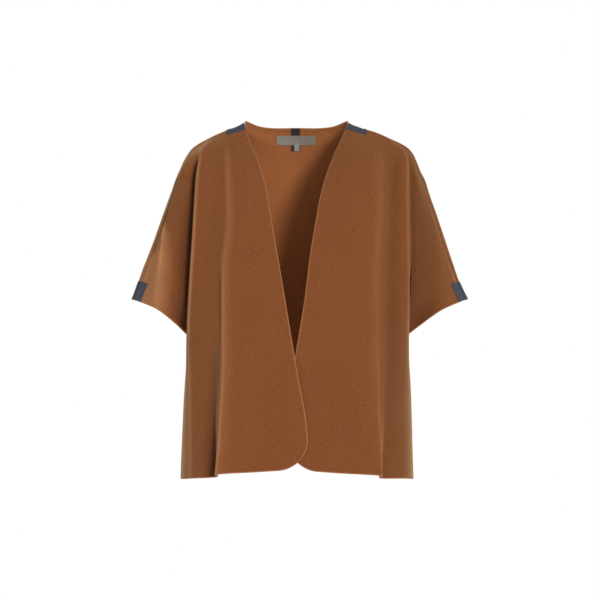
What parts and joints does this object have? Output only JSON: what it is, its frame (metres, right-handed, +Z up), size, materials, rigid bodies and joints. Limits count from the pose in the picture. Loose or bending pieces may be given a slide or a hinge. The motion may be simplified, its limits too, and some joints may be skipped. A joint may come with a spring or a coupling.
{
  "type": "open-front fleece vest with short cut-on sleeves",
  "caption": "Open-front felted fleece vest, worn and hollow, with wide short sleeves cut in one, raw rounded edges and tape tabs at the neck points and cuffs.",
  "frame": {"origin": "midway between the two neck points, on the line of the shoulder seams, where the wearer's shoulders hold the vest up", "axes": "+Z up, -Y to the front of the wearer, +X to the wearer's left"},
  "size_m": [0.6424, 0.2916, 0.6803],
  "materials": {
    "fleece": "felted wool fleece, camel brown, soft short nap, raw cut edges a little lighter",
    "slate_tape": "ribbed woven tape, dark slate grey",
    "grey_satin": "woven satin label, grey beige, left bare",
    "white_satin": "small folded satin tab, off-white, left bare"
  },
  "bodies": {
    "root": {"back": "fleece", "front_right": "fleece", "front_left": "fleece", "shoulder_tape_right": "slate_tape", "shoulder_tape_left": "slate_tape", "cuff_tape_right": "slate_tape", "cuff_tape_left": "slate_tape", "neck_tape": "slate_tape", "neck_label": "grey_satin", "size_tab": "white_satin"}
  },
  "joints": []
}
